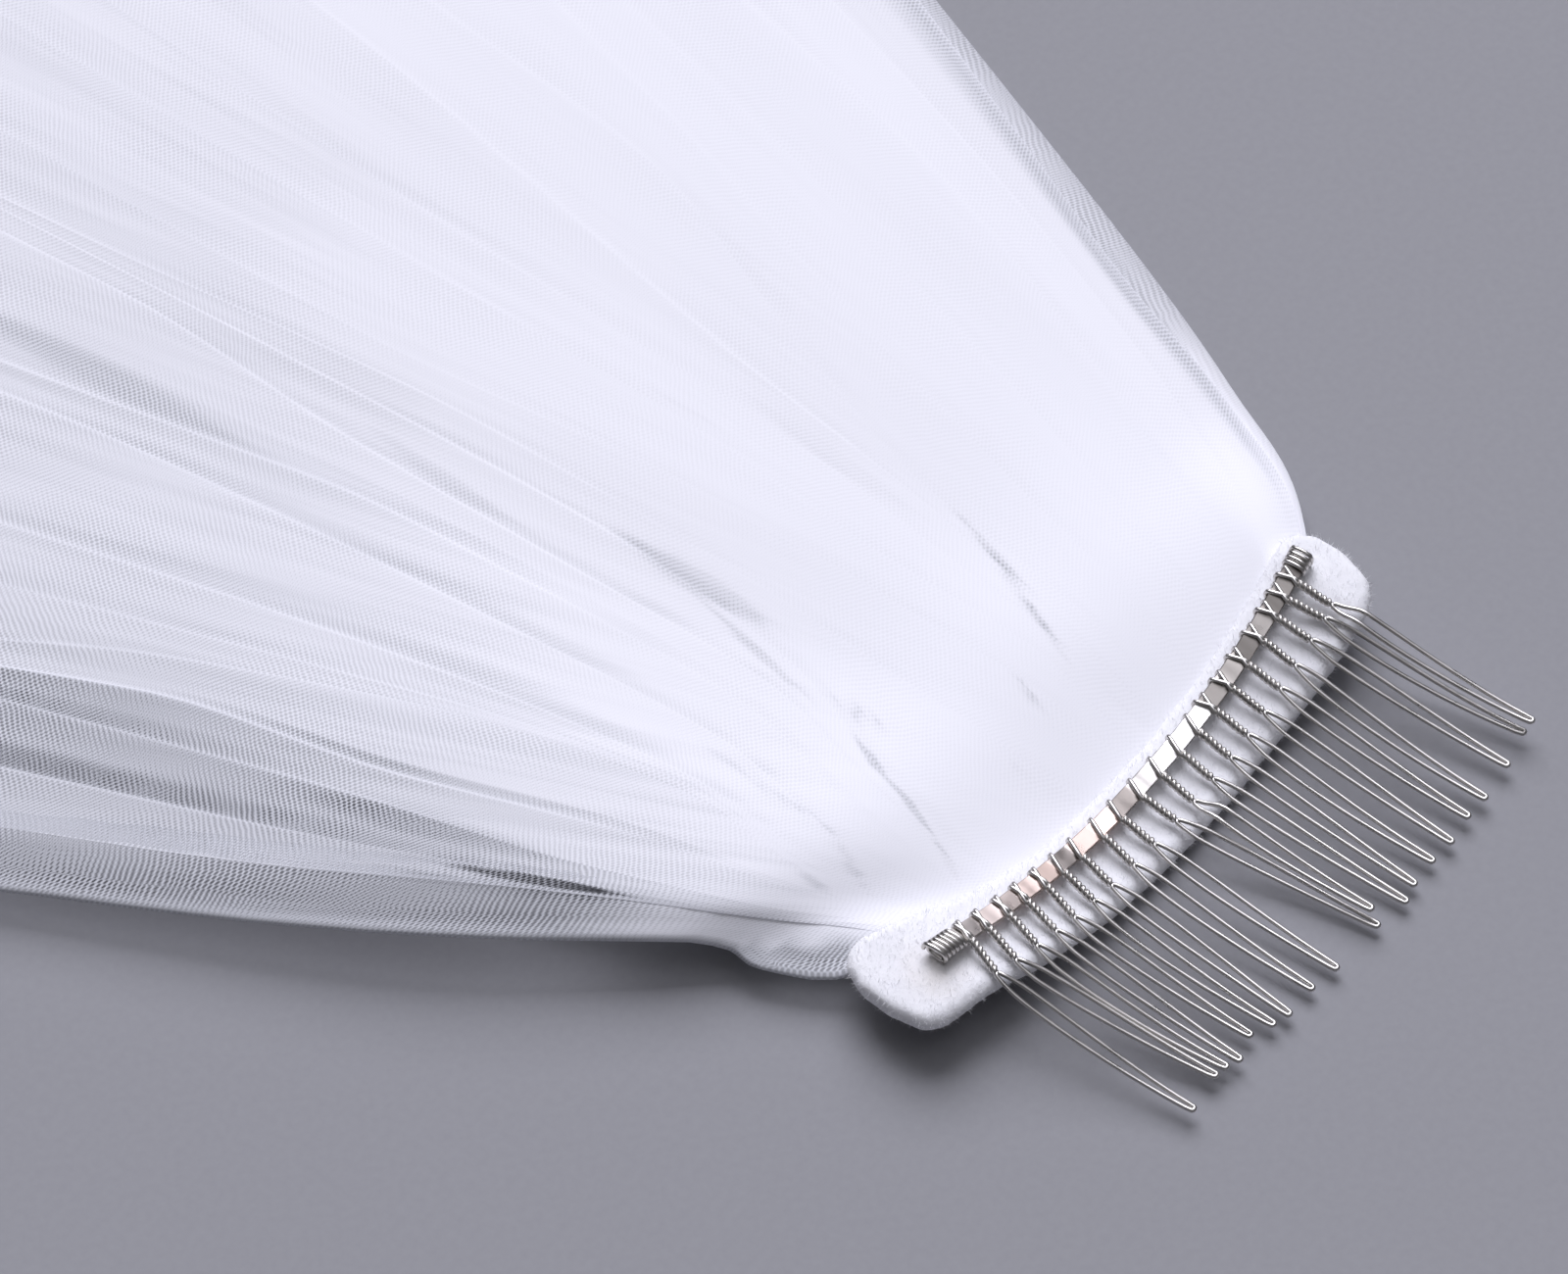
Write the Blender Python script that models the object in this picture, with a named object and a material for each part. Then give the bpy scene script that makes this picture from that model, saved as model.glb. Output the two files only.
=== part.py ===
"""A bridal veil lying face down: two tiers of soft tulle gathered into a plush band on a 20-prong wire comb.

Sizes are in millimetres and are turned to metres when a mesh is made. The origin is on the surface that
the veil lies on, below the middle of the comb. +X runs along the comb, +Y from the comb to the hem.
"""

import math

import bmesh
import bpy

MM = 0.001
GAP = 0.3  # clearance between pieces that touch

# Comb: a flat strip bar, bent to the head, so that its ends rise and its middle bows away from the veil
HALF_SPAN = 35.3  # half of the stretch over which the rise and the bow are given
END_RISE = 4.5  # how much higher the ends of that stretch lie than its middle
FLAT_DROP = 0.23  # taken off the rise, so that the middle lies flat
LEVEL_OUT = 1.5  # past that stretch nothing holds the band up, and it levels out over about this length
BOW = 2.7  # how far the middle of the comb lies in front of its ends
BAR_SEAT = 1.1  # place of the bar's ends across the band
BAR_START, BAR_END = -37.2, 36.9
BAR_WIDTH, BAR_THICKNESS, BAR_HEIGHT = 2.5, 0.8, 4.3
BAR_STATIONS = 24
WIRE = 0.5
WIRE_SIDES = 1  # bevel resolution, which gives six sides

# Prongs: one wire bent back on itself, twisted together for the stem and open below it
STEM_END = 6.8  # distance from the bar's centre line to where the two strands part
STRAND_OFFSET = 0.31
HOOK_FLAT = 0.65  # share of the bar's width on which the wire lies flat
STEM_SAG = 0.35
TIP_HEIGHT, END_TIP_RISE = 1.2, 0.7
TIP_HALF_WIDTH = 0.36
PRONG_DROP_POWER = 1.6
LOOP = (  # distance past the fork as a share of the prong, half width
    (0.10, 0.85),
    (0.27, 0.95),
    (0.55, 0.80),
    (0.82, 0.58),
)
PRONGS = (  # along the comb at the bar, at the fork and at the tip, reach from the bar, extra height at the tip
    (-33.8, -35.4, -33.0, 34.2, 0.0),
    (-30.8, -32.0, -27.5, 33.1, 0.0),
    (-27.3, -28.4, -25.7, 32.9, 0.0),
    (-24.1, -25.0, -23.8, 33.2, 0.0),
    (-20.6, -21.7, -20.2, 31.8, 0.0),
    (-17.4, -18.1, -17.2, 32.8, 0.0),
    (-14.0, -14.7, -14.8, 33.2, 0.0),
    (-9.8, -10.5, -10.1, 33.0, 0.0),
    (-6.2, -6.4, -5.9, 33.5, 0.0),
    (-2.1, -1.9, 2.2, 33.8, 0.0),
    (2.0, 1.7, 2.8, 32.3, 1.6),
    (6.1, 5.8, 7.2, 34.6, 0.0),
    (9.9, 9.7, 9.9, 34.1, 0.0),
    (13.6, 13.5, 14.0, 34.1, 0.0),
    (17.3, 17.3, 17.7, 34.6, 0.0),
    (21.1, 21.1, 22.0, 34.4, 0.0),
    (24.8, 24.7, 25.5, 34.9, 0.0),
    (28.3, 28.6, 31.2, 34.7, 0.0),
    (31.0, 32.0, 36.4, 33.9, 0.0),
    (33.5, 33.9, 37.4, 34.6, 1.6),
)
LIFT_SHARE = 0.15  # how far past the fork a prong that crosses its neighbour has risen over it

# Tight turns of wire at each end of the bar
WINDING_TURNS, WINDING_PITCH = 3, 0.6
WINDING_CORNER = 0.5  # half height at which a turn leaves the bar's edge
WINDING_NEAR, WINDING_FAR = -36.7, 34.6

# Band: a plush strip folded over the gathered edge, sewn under the comb
BAND_THICKNESS = 2.5
BAND_EDGE_ROUND = 1.2
BAND_EDGE = (  # the rounded edge from below upwards: share of the rounding it stands in, share of the thickness
    (1.0, 0.0),
    (0.3, 0.25),
    (0.0, 0.5),
    (0.3, 0.8),
    (1.0, 1.0),
)
BAND = (  # along the comb, prong side edge, veil side edge
    (-46.2, 1.6, 6.6),
    (-45.4, -1.2, 9.0),
    (-43.8, -3.3, 10.5),
    (-41.0, -4.8, 10.9),
    (-35.0, -6.4, 8.4),
    (-27.0, -8.2, 5.4),
    (-16.0, -9.8, 2.9),
    (0.0, -10.5, 2.4),
    (17.0, -10.3, 2.8),
    (30.0, -9.9, 4.1),
    (36.5, -9.3, 5.1),
    (39.4, -7.9, 5.4),
    (40.8, -5.8, 4.8),
    (41.6, -2.4, 3.0),
)
BAND_STATIONS = 26
BAND_CROWDING = 0.65  # how strongly the stations crowd at the rounded ends

# Veil: both tiers fan out from the band as if from one point behind it
FAN_X, FAN_Y = 19.0, -78.0
NEAR_ANGLE, FAR_ANGLE = -33.7, 21.6  # from +Y, clockwise
FAR_ROOT_TURN, FAR_ROOT_LENGTH = 4.4, 14.0  # the far edge leaves the band steeper by this, over this length
FAN_CLOSING, CLOSING_START, CLOSING_END = 0.10, 170.0, 700.0  # the fan narrows towards the hem
ROOT_RADIUS, ROOT_NEAR_RADIUS, ROOT_NEAR_SHARE = 80.5, 27.0, 0.17
ROOT_FAR_SHARE, ROOT_FAR_GROWTH = 0.58, 48.0
UPPER_LENGTH, UNDER_LENGTH = 780.0, 620.0
WALL = 1.2  # upper tier
UNDER_WALL, UNDER_RIDGE = 1.0, 0.6  # flat below, thicker under each fold
LIFT_LENGTH = 24.0  # how soon the cloth comes down from the raised ends of the band
PUFF, PUFF_AT, PUFF_LENGTH = 3.0, 16.0, 15.0  # the gathers stand up just past the band
HEM_STEP = 25.0  # length over which the upper tier comes down past the under tier's hem
MID_DISTANCE = 120.0
ROOT_RIDGE = 1.1
FOLDS = (  # share of the fan at the band, 120 mm on, and at the hem; ridge height 120 mm on, and at the hem
    (0.035, 0.060, 0.060, 1.2, 1.5),
    (0.055, 0.098, 0.115, 1.8, 2.6),
    (0.080, 0.140, 0.172, 2.6, 3.4),
    (0.115, 0.172, 0.225, 3.0, 3.0),
    (0.160, 0.208, 0.272, 1.8, 3.8),
    (0.205, 0.258, 0.322, 2.8, 3.2),
    (0.255, 0.306, 0.372, 2.2, 4.0),
    (0.305, 0.352, 0.420, 3.2, 3.4),
    (0.365, 0.408, 0.470, 2.6, 3.8),
    (0.425, 0.468, 0.522, 3.4, 3.0),
    (0.485, 0.528, 0.570, 2.2, 4.0),
    (0.545, 0.585, 0.620, 2.8, 3.4),
    (0.605, 0.640, 0.668, 2.0, 3.8),
    (0.660, 0.692, 0.716, 2.8, 3.0),
    (0.715, 0.745, 0.762, 3.2, 3.8),
    (0.775, 0.800, 0.812, 2.0, 3.4),
    (0.830, 0.852, 0.860, 2.6, 3.8),
    (0.885, 0.902, 0.908, 2.2, 3.0),
    (0.930, 0.944, 0.948, 1.8, 3.2),
    (0.970, 0.976, 0.978, 1.0, 1.4),
)
# Columns of each fold: place between its two neighbouring troughs, share of its height
FOLD_COLUMNS = ((-0.42, 0.0), (-0.20, 0.55), (0.0, 1.0), (0.20, 0.55), (0.42, 0.0))
UPPER_ROWS = (0, 4, 9, 15, 22, 31, 43, 58, 78, 102, 132, 170, 220, 280, 360, 460, 560, 621, 646, 710, 780)
UNDER_ROWS = (0, 7, 15, 24, 38, 60, 95, 145, 220, 310, 410, 520, 620)


def smooth(value):
    """0 below 0, 1 above 1, and an even curve between."""
    value = min(1.0, max(0.0, value))
    return value * value * (3.0 - 2.0 * value)


def table_value(rows, column, at):
    """A column of a table, read on straight lines between its rows, whose first column rises."""
    if at <= rows[0][0]:
        return rows[0][column]
    for low, high in zip(rows, rows[1:]):
        if at <= high[0]:
            share = (at - low[0]) / (high[0] - low[0])
            return low[column] + (high[column] - low[column]) * share
    return rows[-1][column]


def rise(x):
    """Height of the comb and the band over the surface, from their bend to the head."""
    held = min(abs(x), HALF_SPAN)
    slope = 2.0 * (END_RISE + FLAT_DROP) / HALF_SPAN
    past = LEVEL_OUT * (1.0 - math.exp((held - abs(x)) / LEVEL_OUT))
    return max(0.0, (END_RISE + FLAT_DROP) * (held / HALF_SPAN) ** 2 - FLAT_DROP + slope * past)


def bar_y(x):
    return BAR_SEAT - BOW * (1.0 - (x / HALF_SPAN) ** 2)


def add_material(thing, name, colour, roughness, metallic=0.0, alpha=1.0):
    material = bpy.data.materials.get(name) or bpy.data.materials.new(name)
    material.use_nodes = True
    shader = material.node_tree.nodes["Principled BSDF"]
    shader.inputs["Base Color"].default_value = (*colour, 1.0)
    shader.inputs["Roughness"].default_value = roughness
    shader.inputs["Metallic"].default_value = metallic
    shader.inputs["Alpha"].default_value = alpha
    thing.data.materials.append(material)


def add_object(name, shape):
    """Makes an object of a bmesh in millimetres."""
    bmesh.ops.scale(shape, vec=(MM, MM, MM), verts=shape.verts)
    bmesh.ops.recalc_face_normals(shape, faces=shape.faces)
    mesh = bpy.data.meshes.new(name)
    shape.to_mesh(mesh)
    shape.free()
    thing = bpy.data.objects.new(name, mesh)
    bpy.context.collection.objects.link(thing)
    mesh.shade_smooth()
    mesh.set_sharp_from_angle(angle=math.radians(50))
    return thing


def loft(name, rings):
    """A solid through closed rings that all have the same number of points, capped at both ends."""
    shape = bmesh.new()
    loops = []
    for ring in rings:
        verts = [shape.verts.new(point) for point in ring]
        edges = [shape.edges.new((a, b)) for a, b in zip(verts, verts[1:] + verts[:1])]
        loops.append((verts, edges))
    for (_, first), (_, second) in zip(loops, loops[1:]):
        bmesh.ops.bridge_loops(shape, edges=first + second)
    for verts, _ in (loops[0], loops[-1]):
        shape.faces.new(verts)
    return add_object(name, shape)


def wire(name, points):
    """A round wire through points, as one solid with closed ends."""
    curve = bpy.data.curves.new(name, "CURVE")
    curve.dimensions = "3D"
    curve.bevel_depth = WIRE / 2 * MM
    curve.bevel_resolution = WIRE_SIDES
    curve.use_fill_caps = True
    spline = curve.splines.new("POLY")
    spline.points.add(len(points) - 1)
    for target, (x, y, z) in zip(spline.points, points):
        target.co = (x * MM, y * MM, z * MM, 1.0)
    thing = bpy.data.objects.new(name, curve)
    bpy.context.collection.objects.link(thing)
    return thing


# --- Comb ---------------------------------------------------------------------------------------------


def make_bar():
    rings = []
    for station in range(BAR_STATIONS + 1):
        x = BAR_START + (BAR_END - BAR_START) * station / BAR_STATIONS
        y, z = bar_y(x), BAR_HEIGHT + rise(x)
        corners = ((-0.5, -0.5), (0.5, -0.5), (0.5, 0.5), (-0.5, 0.5))
        rings.append([(x, y + BAR_WIDTH * a, z + BAR_THICKNESS * b) for a, b in corners])
    add_material(loft("comb_bar", rings), "steel_strip", (0.80, 0.80, 0.82), 0.2, 1.0)


def make_winding(name, start):
    """A few tight turns round the bar, clear of its corners."""
    wide = BAR_WIDTH / 2 + GAP + WIRE / 2
    high = BAR_THICKNESS / 2 + GAP + WIRE / 2
    flat = HOOK_FLAT * wide
    round_bar = ((wide, WINDING_CORNER), (flat, high), (-flat, high), (-wide, WINDING_CORNER))
    turn = round_bar + tuple((-y, -z) for y, z in round_bar)
    points = []
    for step in range(WINDING_TURNS * len(turn) + 1):
        x = start + WINDING_PITCH * step / len(turn)
        side, up = turn[step % len(turn)]
        points.append((x, bar_y(x) + side, BAR_HEIGHT + rise(x) + up))
    add_material(wire(name, points), "steel_wire", (0.72, 0.71, 0.70), 0.28, 1.0)


def make_prong(number):
    """A hairpin of one wire: hooked over the bar, down the stem, out along the loop, round the tip and back."""
    root_x, fork_x, tip_x, reach, extra = PRONGS[number]
    root_y = bar_y(root_x)
    bar_z = BAR_HEIGHT + rise(root_x)
    fork_z = bar_z - STEM_SAG
    tip_z = TIP_HEIGHT + END_TIP_RISE * (root_x / HALF_SPAN) ** 2
    over = BAR_THICKNESS / 2 + GAP + WIRE / 2
    beside = BAR_WIDTH / 2 + GAP + WIRE / 2

    def strand(side):
        offset = side * STRAND_OFFSET
        points = [
            (root_x + offset, root_y + beside, bar_z),
            (root_x + offset, root_y + HOOK_FLAT * beside, bar_z + over),
            (root_x + offset, root_y - HOOK_FLAT * beside, bar_z + over),
            (root_x + offset, root_y - beside - WIRE, bar_z),
            (fork_x + offset, root_y - STEM_END, fork_z),
        ]
        for along, half_width in LOOP:
            x = fork_x + (tip_x - fork_x) * along + side * half_width
            y = root_y - STEM_END - (reach - STEM_END) * along
            level = tip_z + (fork_z - tip_z) * (1.0 - along) ** PRONG_DROP_POWER
            points.append((x, y, level + extra * smooth(along / LIFT_SHARE)))
        points.append((tip_x + side * TIP_HALF_WIDTH, root_y - reach + 2 * WIRE, tip_z + extra))
        points.append((tip_x + side * TIP_HALF_WIDTH / 2, root_y - reach + WIRE / 2, tip_z + extra))
        return points

    name = f"comb_prong_{number + 1:02d}"
    points = strand(-1) + strand(1)[::-1]
    add_material(wire(name, points), "steel_wire", (0.72, 0.71, 0.70), 0.28, 1.0)


# --- Band ---------------------------------------------------------------------------------------------


def make_band():
    rings = []
    for station in range(BAND_STATIONS + 1):
        share = station / BAND_STATIONS
        eased = 0.5 - 0.5 * math.cos(math.pi * share)
        share += (eased - share) * BAND_CROWDING
        x = BAND[0][0] + (BAND[-1][0] - BAND[0][0]) * share
        low, high = table_value(BAND, 1, x), table_value(BAND, 2, x)
        inset = min(BAND_EDGE_ROUND, (high - low) / 3)
        veil_side = [(x, high - inset * a, rise(x) + BAND_THICKNESS * b) for a, b in BAND_EDGE]
        prong_side = [(x, low + inset * a, rise(x) + BAND_THICKNESS * b) for a, b in BAND_EDGE]
        rings.append(veil_side + prong_side[::-1])
    add_material(loft("band", rings), "plush", (0.90, 0.90, 0.93), 0.95)


# --- Veil ---------------------------------------------------------------------------------------------


def root_radius(share):
    """Distance from the fan's point to the band's edge."""
    near = ROOT_NEAR_RADIUS * math.exp(-share / ROOT_NEAR_SHARE)
    far = ROOT_FAR_GROWTH * max(0.0, share - ROOT_FAR_SHARE) ** 2
    return ROOT_RADIUS + near + far


def fan_point(share, distance):
    """Plan position of a point at a share of the fan's angle and a distance from the band."""
    far = FAR_ANGLE - FAR_ROOT_TURN * math.exp(-distance / FAR_ROOT_LENGTH)
    middle = (NEAR_ANGLE + FAR_ANGLE) / 2
    angle = NEAR_ANGLE + (far - NEAR_ANGLE) * share
    closing = smooth((distance - CLOSING_START) / (CLOSING_END - CLOSING_START))
    angle = math.radians(angle + (middle - angle) * FAN_CLOSING * closing)
    radius = root_radius(share) + distance
    return FAN_X + radius * math.sin(angle), FAN_Y + radius * math.cos(angle)


def along(root, mid, hem, distance):
    """A fold's value at a distance, from its values at the band, 120 mm on and at the hem."""
    if distance < MID_DISTANCE:
        return root + (mid - root) * smooth(0.5 * distance / MID_DISTANCE) * 2.0
    return mid + (hem - mid) * smooth((distance - MID_DISTANCE) / (UPPER_LENGTH - MID_DISTANCE))


def fold_share(fold, distance):
    return along(*FOLDS[fold][:3], distance)


def fold_height(fold, distance):
    return along(ROOT_RIDGE, *FOLDS[fold][3:], distance)


def columns(distance):
    """Shares of the fan and ridge heights (share of full, fold) of the points across a tier."""
    found = []
    for fold in range(len(FOLDS)):
        here = fold_share(fold, distance)
        before = here - fold_share(fold - 1, distance) if fold else None
        after = fold_share(fold + 1, distance) - here if fold + 1 < len(FOLDS) else None
        for place, height in FOLD_COLUMNS:
            reach = before if place < 0 else after
            if place and reach is None:
                continue
            found.append((here + place * (reach or 0.0), height, fold))
    return found


def lift(share, distance):
    """Height of the cloth's underside while it comes down from the band's raised ends."""
    root_x = fan_point(share, 0.0)[0]
    return rise(root_x) * (1.0 - smooth(distance / LIFT_LENGTH))


def under_top(share, height, distance):
    return lift(share, distance) + UNDER_WALL + UNDER_RIDGE * height


def upper_bottom(share, height, fold, distance):
    """Underside of the upper tier: on the under tier, then on the surface past the under tier's hem."""
    past_hem = smooth((distance - UNDER_LENGTH - 1.0) / HEM_STEP)
    support = (under_top(share, height, distance) + GAP) * (1.0 - past_hem)
    middle = math.sin(math.pi * min(1.0, max(0.0, share)))
    puff = PUFF * middle * math.exp(-(((distance - PUFF_AT) / PUFF_LENGTH) ** 2))
    ridge = max(0.0, fold_height(fold, distance) - UNDER_RIDGE) * height
    return support + puff + ridge


def sheet_solid(name, rows):
    """A wall from rows of (top point, bottom point) pairs, closed all round its edge."""
    rings = [[top for top, _ in row] + [bottom for _, bottom in reversed(row)] for row in rows]
    return loft(name, rings)


def make_upper_tier():
    rows = []
    for distance in UPPER_ROWS:
        row = []
        for share, height, fold in columns(distance):
            x, y = fan_point(share, distance)
            bottom = upper_bottom(share, height, fold, distance)
            row.append(((x, y, bottom + WALL), (x, y, bottom)))
        rows.append(row)
    add_material(sheet_solid("veil_upper_tier", rows), "tulle", (0.92, 0.93, 0.97), 0.8, alpha=0.8)


def make_under_tier():
    """The whole outline, flat below, with a low ridge under each fold of the upper tier."""
    rows = []
    for distance in UNDER_ROWS:
        places = [(0.0, 0.0)]
        places += [(share, height) for share, height, _ in columns(distance) if height in (0.0, 1.0)]
        places.append((1.0, 0.0))
        row = []
        for share, height in places:
            x, y = fan_point(share, distance)
            top = under_top(share, height, distance)
            row.append(((x, y, top), (x, y, lift(share, distance))))
        rows.append(row)
    add_material(sheet_solid("veil_under_tier", rows), "tulle", (0.92, 0.93, 0.97), 0.8, alpha=0.8)


for thing in list(bpy.data.objects):
    bpy.data.objects.remove(thing)

make_bar()
make_winding("comb_winding_near", WINDING_NEAR)
make_winding("comb_winding_far", WINDING_FAR)
for number in range(len(PRONGS)):
    make_prong(number)
make_band()
make_upper_tier()
make_under_tier()
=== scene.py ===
"""The looks of a bridal veil that lies face down: two tiers of soft net gathered into a plush band on a wire comb.

The script follows the veil as it is put together: under tier, upper tier, band, comb bar, prongs, end windings.
Shapes are worked out in millimetres and turned to metres when a mesh is finished.
"""

import math
import random

import bmesh
import bpy
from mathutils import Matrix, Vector, noise


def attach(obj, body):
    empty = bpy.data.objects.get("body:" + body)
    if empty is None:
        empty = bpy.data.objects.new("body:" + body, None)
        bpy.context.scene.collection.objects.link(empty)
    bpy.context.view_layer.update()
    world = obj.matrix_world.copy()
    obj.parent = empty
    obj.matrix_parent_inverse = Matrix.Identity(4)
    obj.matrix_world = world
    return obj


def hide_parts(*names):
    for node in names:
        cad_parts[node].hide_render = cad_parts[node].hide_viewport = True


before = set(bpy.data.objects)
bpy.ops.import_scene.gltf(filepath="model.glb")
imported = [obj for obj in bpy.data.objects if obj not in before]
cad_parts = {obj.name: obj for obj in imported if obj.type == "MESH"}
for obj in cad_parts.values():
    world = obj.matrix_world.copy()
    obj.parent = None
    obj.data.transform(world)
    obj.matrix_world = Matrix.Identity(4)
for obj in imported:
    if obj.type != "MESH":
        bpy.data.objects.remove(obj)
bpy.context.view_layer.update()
MM = 0.001

# --- Under tier ---------------------------------------------------------------
# The veil's outer length of soft nylon net, which lies on the table. It is cut plain, gathered at the band
# and spread as a fan. Along its near side the net is folded back on itself, so two plies show there.

HALF_SPAN = 35.3  # half of the stretch of the comb over which its rise is given
END_RISE = 4.5  # how much higher the comb and band lie there than in the middle
FLAT_DROP = 0.23  # how far the bend would reach below the table in the middle, where the band lies flat
LEVEL_OUT = 1.5  # past that stretch nothing holds the band up, and it levels out over about this length
FAN_X, FAN_Y = 19.0, -78.0  # the point that both tiers fan out from
NEAR_ANGLE, FAR_ANGLE = -33.7, 21.6  # the fan's sides from +Y, clockwise
FAR_ROOT_TURN, FAR_ROOT_LENGTH = 4.4, 14.0  # the far side leaves the band steeper by this, over this length
FAN_CLOSING, CLOSING_START, CLOSING_END = 0.10, 170.0, 700.0  # the sides draw in again by this share, and where
# Distance of the band from the fan's point, how much more it is at the near side, how soon that fades and
# where it stops growing, and how it grows towards the far side
ROOT_RADIUS, ROOT_NEAR_RADIUS, ROOT_NEAR_SHARE, ROOT_NEAR_LIMIT = 80.5, 27.0, 0.17, -0.03
ROOT_FAR_SHARE, ROOT_FAR_GROWTH = 0.58, 48.0
UNDER_LENGTH, UPPER_LENGTH = 620.0, 780.0  # from the band to each hem
IN_BAND = 6.0  # length of cloth that the band holds
LIFT_LENGTH = 24.0  # how soon the cloth comes down from the raised ends of the band
SAG, SAG_WIDTH = 0.35, 0.06  # share by which the loose near edge hangs down there, and how far across the fan
NEAR_EDGE = (  # distance from the band, place across the fan; the loose edge swings out beside the band
    (-3, -0.05), (0, -0.048), (2.5, -0.0425), (7, -0.03), (10.5, -0.0185), (14, -0.0066), (17, -0.0013),
    (20, 0.0007), (24, -0.0028), (33, -0.0093), (42, -0.0127), (52, -0.0121), (62, -0.0084),
    (74, -0.0028), (85, 0.0035), (96, 0.0083), (107, 0.0134), (150, 0.012), (260, 0),
)  # fmt: skip
NEAR_LIFT, NEAR_LIFT_AT, NEAR_LIFT_LENGTH = 3.2, 42.0, 38.0  # how high the near side stands, where and how long
NEAR_SIDE, NEAR_START = 0.16, 25.0  # share of the fan that stands up, and the length over which it begins
# The springy net keeps the height of the band's raised end far along its near side, as one long swell: its
# height, where it is highest and how long it is along the cloth, how high it is at the loose edge, and where
# its foot, crest and end are across the fan
SWELL, SWELL_AT, SWELL_LENGTH = 6.5, 60.0, 90.0
SWELL_EDGE, SWELL_FOOT, SWELL_CREST, SWELL_END = 0.55, -0.02, 0.06, 0.40
SWELL_LEAN = (0.55, 0.37)  # how far the swell leans outwards for each millimetre that it rises
# A slit near the near side, where both tiers part and the table shows: place across the fan, its shift over
# each millimetre away from the band, distance from the band, half width, half length
SLIT = (0.0545, 0.00065, 46.0, 0.0070, 15.0)
SLIT_RIM = 2.2  # how sharp its rim is

NET_PITCH = 0.735  # from hole to hole of the net
NET_SQUEEZE = 0.75  # the gathers draw its holes narrower across the cloth
LOOSE_NET, LOOSE_SIDE = 0.62, 0.04  # but not along the loose near side, up to this share of the fan
PLY_COVER = 0.27  # share of the light that one ply stops
PLY_TURN = 1.5  # the turn between two plies that lie together, which gives their lozenges of light and dark
THREAD_COVER = 0.62  # share of the light that the middle of a thread stops
LATTICE = (0.4, 1.0, 1.0)  # how strong the rows of holes along the cloth and at each slant to it are
THREAD_LEVEL, HOLE_LEVEL = -1.7, 1.0  # of their sum, where a thread is thickest and where a hole is open
NET_SHIFT = (7.3, 3.7)  # from fold to fold, across and along, so that no two have their holes in line
UNEVEN = 0.10  # of the number of plies, as streaks


def smooth(value):
    """0 below 0, 1 above 1, and an even curve between."""
    value = min(1.0, max(0.0, value))
    return value * value * (3.0 - 2.0 * value)


def rise(x):
    """Height of the comb and the band over the table, from their bend to the head."""
    held = min(abs(x), HALF_SPAN)
    slope = 2.0 * (END_RISE + FLAT_DROP) / HALF_SPAN
    past = LEVEL_OUT * (1.0 - math.exp((held - abs(x)) / LEVEL_OUT))
    return max(0.0, (END_RISE + FLAT_DROP) * (held / HALF_SPAN) ** 2 - FLAT_DROP + slope * past)


def fan_point(share, distance):
    """Plan position of a point at a share of the fan's angle and a distance from the band."""
    far = FAR_ANGLE - FAR_ROOT_TURN * math.exp(-distance / FAR_ROOT_LENGTH)
    middle = (NEAR_ANGLE + FAR_ANGLE) / 2
    angle = NEAR_ANGLE + (far - NEAR_ANGLE) * share
    closing = smooth((distance - CLOSING_START) / (CLOSING_END - CLOSING_START))
    angle = math.radians(angle + (middle - angle) * FAN_CLOSING * closing)
    near = ROOT_NEAR_RADIUS * math.exp(-max(share, ROOT_NEAR_LIMIT) / ROOT_NEAR_SHARE)
    radius = ROOT_RADIUS + near + ROOT_FAR_GROWTH * max(0.0, share - ROOT_FAR_SHARE) ** 2 + distance
    return FAN_X + radius * math.sin(angle), FAN_Y + radius * math.cos(angle)


def fan_width(distance):
    """Width of the fan from side to side at a distance from the band."""
    return math.radians(FAR_ANGLE - NEAR_ANGLE) * (ROOT_RADIUS + distance)


def lift(share, distance):
    """Height of the cloth while it comes down from the band's raised ends, with its loose near edge sagging."""
    held = rise(fan_point(min(1.0, max(0.0, share)), 0.0)[0]) * (1.0 - smooth(distance / LIFT_LENGTH))
    loose = 1.0 - smooth((share - spline(*zip(*NEAR_EDGE), distance)) / SAG_WIDTH)
    return held * (1.0 - SAG * smooth((distance + IN_BAND) / 4) * loose)


def near_swell(share, distance):
    """Height of the near side's long swell."""
    along = math.exp(-(((distance - SWELL_AT) / SWELL_LENGTH) ** 2)) * smooth(distance / NEAR_START)
    across = SWELL_EDGE + (1.0 - SWELL_EDGE) * smooth((share - SWELL_FOOT) / (SWELL_CREST - SWELL_FOOT))
    return SWELL * along * across * (1.0 - smooth((share - SWELL_CREST) / (SWELL_END - SWELL_CREST)))


def near_lift(share, distance):
    """Height by which the loose near side stands off the table in all, past the band."""
    along = math.exp(-(((distance - NEAR_LIFT_AT) / NEAR_LIFT_LENGTH) ** 2)) * smooth(distance / NEAR_START)
    return NEAR_LIFT * along * (1.0 - smooth(share / NEAR_SIDE)) + near_swell(share, distance)


def cloth_point(share, distance):
    """Plan position of the cloth, with its near side leaning out over the table."""
    x, y = fan_point(share, distance)
    swell = near_swell(share, distance)
    return x - SWELL_LEAN[0] * swell, y - SWELL_LEAN[1] * swell


def opening(parting, share, distance, steepness):
    """How far inside a lens-shaped parting a point is, from 0 at its rim to 1."""
    place, slant, at, half_width, half_length = parting
    aside = (share - place - slant * (distance - at)) / half_width
    along = (distance - at) / half_length
    return smooth(steepness * (1.0 - abs(aside) - along**2))


def between(stations, values, at):
    """A value read on straight lines between stations that rise."""
    if at <= stations[0]:
        return values[0]
    for low, high, a, b in zip(stations, stations[1:], values, values[1:]):
        if at <= high:
            return a + (b - a) * (at - low) / (high - low)
    return values[-1]


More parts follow.
